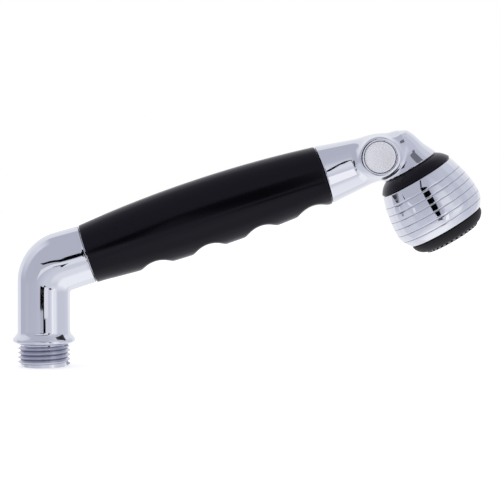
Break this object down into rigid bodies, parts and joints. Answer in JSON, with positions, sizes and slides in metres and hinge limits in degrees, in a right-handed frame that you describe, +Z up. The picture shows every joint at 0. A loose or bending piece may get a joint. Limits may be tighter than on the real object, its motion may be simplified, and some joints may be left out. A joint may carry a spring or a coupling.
{
  "type": "handheld bath sprayer",
  "caption": "Angled chrome hand sprayer with a moulded black finger grip, a push-through shut-off button and a turning round spray head, for a grooming or bath tub hose.",
  "frame": {"origin": "centre of the threaded inlet's end face, on the thread's axis", "axes": "+Z up along the inlet's axis, +X towards the spray head, +Y across, in at the front button"},
  "size_m": [0.1897, 0.0376, 0.0948],
  "materials": {
    "chrome": "bright chrome plate",
    "satin_chrome": "satin chrome plate",
    "brass": "turned brass",
    "spring_steel": "stainless, bright",
    "grip_black": "black, satin moulded",
    "black_plastic": "black, semi-gloss moulded",
    "rubber": "black rubber",
    "grey_plastic": "pale grey moulded plastic",
    "acetal": "natural acetal"
  },
  "bodies": {
    "handle": {"inlet_elbow": "chrome", "inlet_strainer": "acetal", "handle_tube": "brass", "tube_seal_inlet": "rubber", "tube_seal_neck": "rubber", "finger_grip": "grip_black", "neck_body": "chrome", "collar": "black_plastic", "head_stem": "brass", "stem_seal_upper": "rubber", "stem_seal_lower": "rubber", "port_disc": "acetal", "stem_clip": "spring_steel"},
    "shut_off_button": {"valve_spool": "brass", "spool_seal_front": "rubber", "spool_seal_middle": "rubber", "spool_seal_back": "rubber", "front_button": "satin_chrome", "back_button": "satin_chrome"},
    "spray_head": {"head_bell": "chrome", "head_core": "grey_plastic", "port_seal": "rubber", "distributor": "acetal", "bumper_ring": "rubber", "spray_face": "grey_plastic", "face_seal": "rubber", "aerator_housing": "grey_plastic", "aerator_screen": "spring_steel"}
  },
  "joints": [
    {"name": "button_slide", "type": "slide", "parent": "handle", "child": "shut_off_button", "axis": [0, -1, 0], "range_m": [0, 0.0045]},
    {"name": "head_turn", "type": "hinge", "parent": "handle", "child": "spray_head", "pos_m": [0.14404, 0, 0.08732], "axis": [0.518, 0, -0.8554], "range_deg": [0, 90]}
  ]
}
